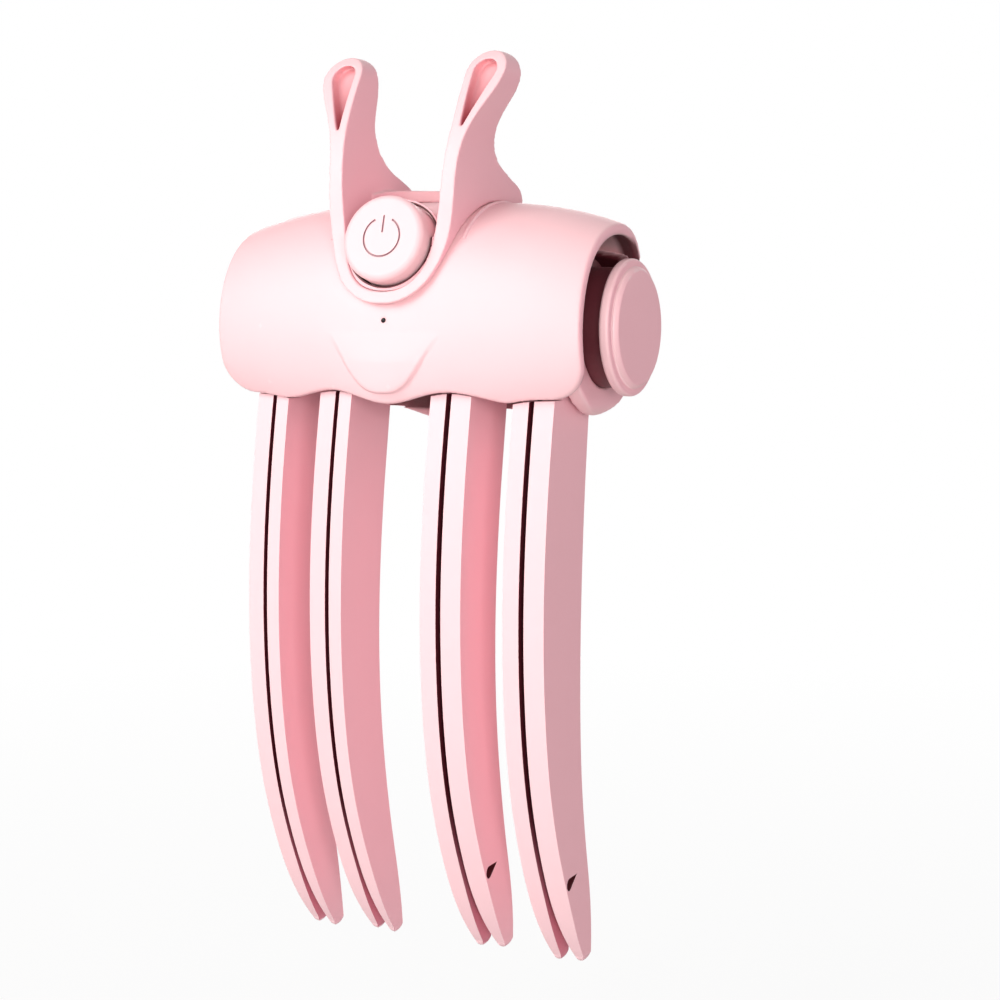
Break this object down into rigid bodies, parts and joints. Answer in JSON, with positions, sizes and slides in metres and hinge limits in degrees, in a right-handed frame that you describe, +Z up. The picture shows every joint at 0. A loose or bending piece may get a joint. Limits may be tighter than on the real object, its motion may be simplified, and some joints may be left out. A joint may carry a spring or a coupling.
{
  "type": "heated root volumizing clip",
  "caption": "Spring clip that grips hair roots between side-by-side heated curved blades, with finger ears, a thumb lever and a power button",
  "frame": {"origin": "middle of the battery barrel's axis, about which the front jaw swings, named by the mount hair_grip", "axes": "X along the barrel to the right as seen from the front, Y from the front face to the back, Z up from the blade tips to the ears"},
  "size_m": [0.0798, 0.05, 0.1641],
  "materials": {
    "shell_pink": "satin moulded shell, pale pink",
    "blade_pink": "satin moulded heat-resistant blade, pale pink",
    "button_pink": "satin moulded button, pale pink",
    "bezel_pale": "smooth paler ring",
    "barrel_plastic": "dusty pink tube in the shade of the covers",
    "cell_wrap": "shrink sleeve over a steel can",
    "nickel_contact": "pressed plated strip",
    "socket_steel": "folded steel shell",
    "circuit_board": "glass-fibre board",
    "switch_black": "moulded switch body",
    "light_pipe": "dark clear pin, unlit",
    "carrier_plate": "moulded curved plate",
    "heater_ceramic": "coated ceramic heating strip",
    "screw_steel": "small countersunk screw",
    "spring_steel": "drawn spring wire"
  },
  "bodies": {
    "root": {"battery_barrel": "barrel_plastic", "battery_cell": "cell_wrap", "contact_left": "nickel_contact", "contact_right": "nickel_contact", "end_cap_left": "shell_pink", "end_cap_right": "shell_pink", "charge_board": "circuit_board", "usb_c_socket": "socket_steel", "back_cover": "shell_pink", "back_carrier": "carrier_plate", "blade_screws_back": "screw_steel", "cover_screws_back": "screw_steel", "torsion_spring_left": "spring_steel", "torsion_spring_right": "spring_steel", "blade_back_1": "blade_pink", "blade_back_2": "blade_pink", "blade_back_3": "blade_pink", "blade_back_4": "blade_pink", "heater_back_1": "heater_ceramic", "heater_back_2": "heater_ceramic", "heater_back_3": "heater_ceramic", "heater_back_4": "heater_ceramic"},
    "front": {"front_cover": "shell_pink", "ear_frame": "shell_pink", "button_bezel": "bezel_pale", "tact_switch": "switch_black", "control_board": "circuit_board", "board_screws": "screw_steel", "light_pipe": "light_pipe", "front_carrier": "carrier_plate", "blade_screws_front": "screw_steel", "cover_screws_front": "screw_steel", "blade_front_1": "blade_pink", "blade_front_2": "blade_pink", "blade_front_3": "blade_pink", "blade_front_4": "blade_pink", "heater_front_1": "heater_ceramic", "heater_front_2": "heater_ceramic", "heater_front_3": "heater_ceramic", "heater_front_4": "heater_ceramic"},
    "button": {"power_button": "button_pink", "switch_plunger": "button_pink"}
  },
  "joints": [
    {"name": "clip_hinge", "type": "hinge", "parent": "root", "child": "front", "pos_m": [0, 0, 0], "axis": [-1, 0, 0], "range_deg": [0, 28], "stiffness_Nm_per_rad": 0.15, "springref_deg": -28.65, "deforming": ["torsion_spring_left", "torsion_spring_right"]},
    {"name": "button_press", "type": "slide", "parent": "front", "child": "button", "axis": [0, 0.9613, -0.2756], "range_m": [0, 0.0006], "stiffness_N_per_m": 1500, "springref_m": -0.0003}
  ]
}
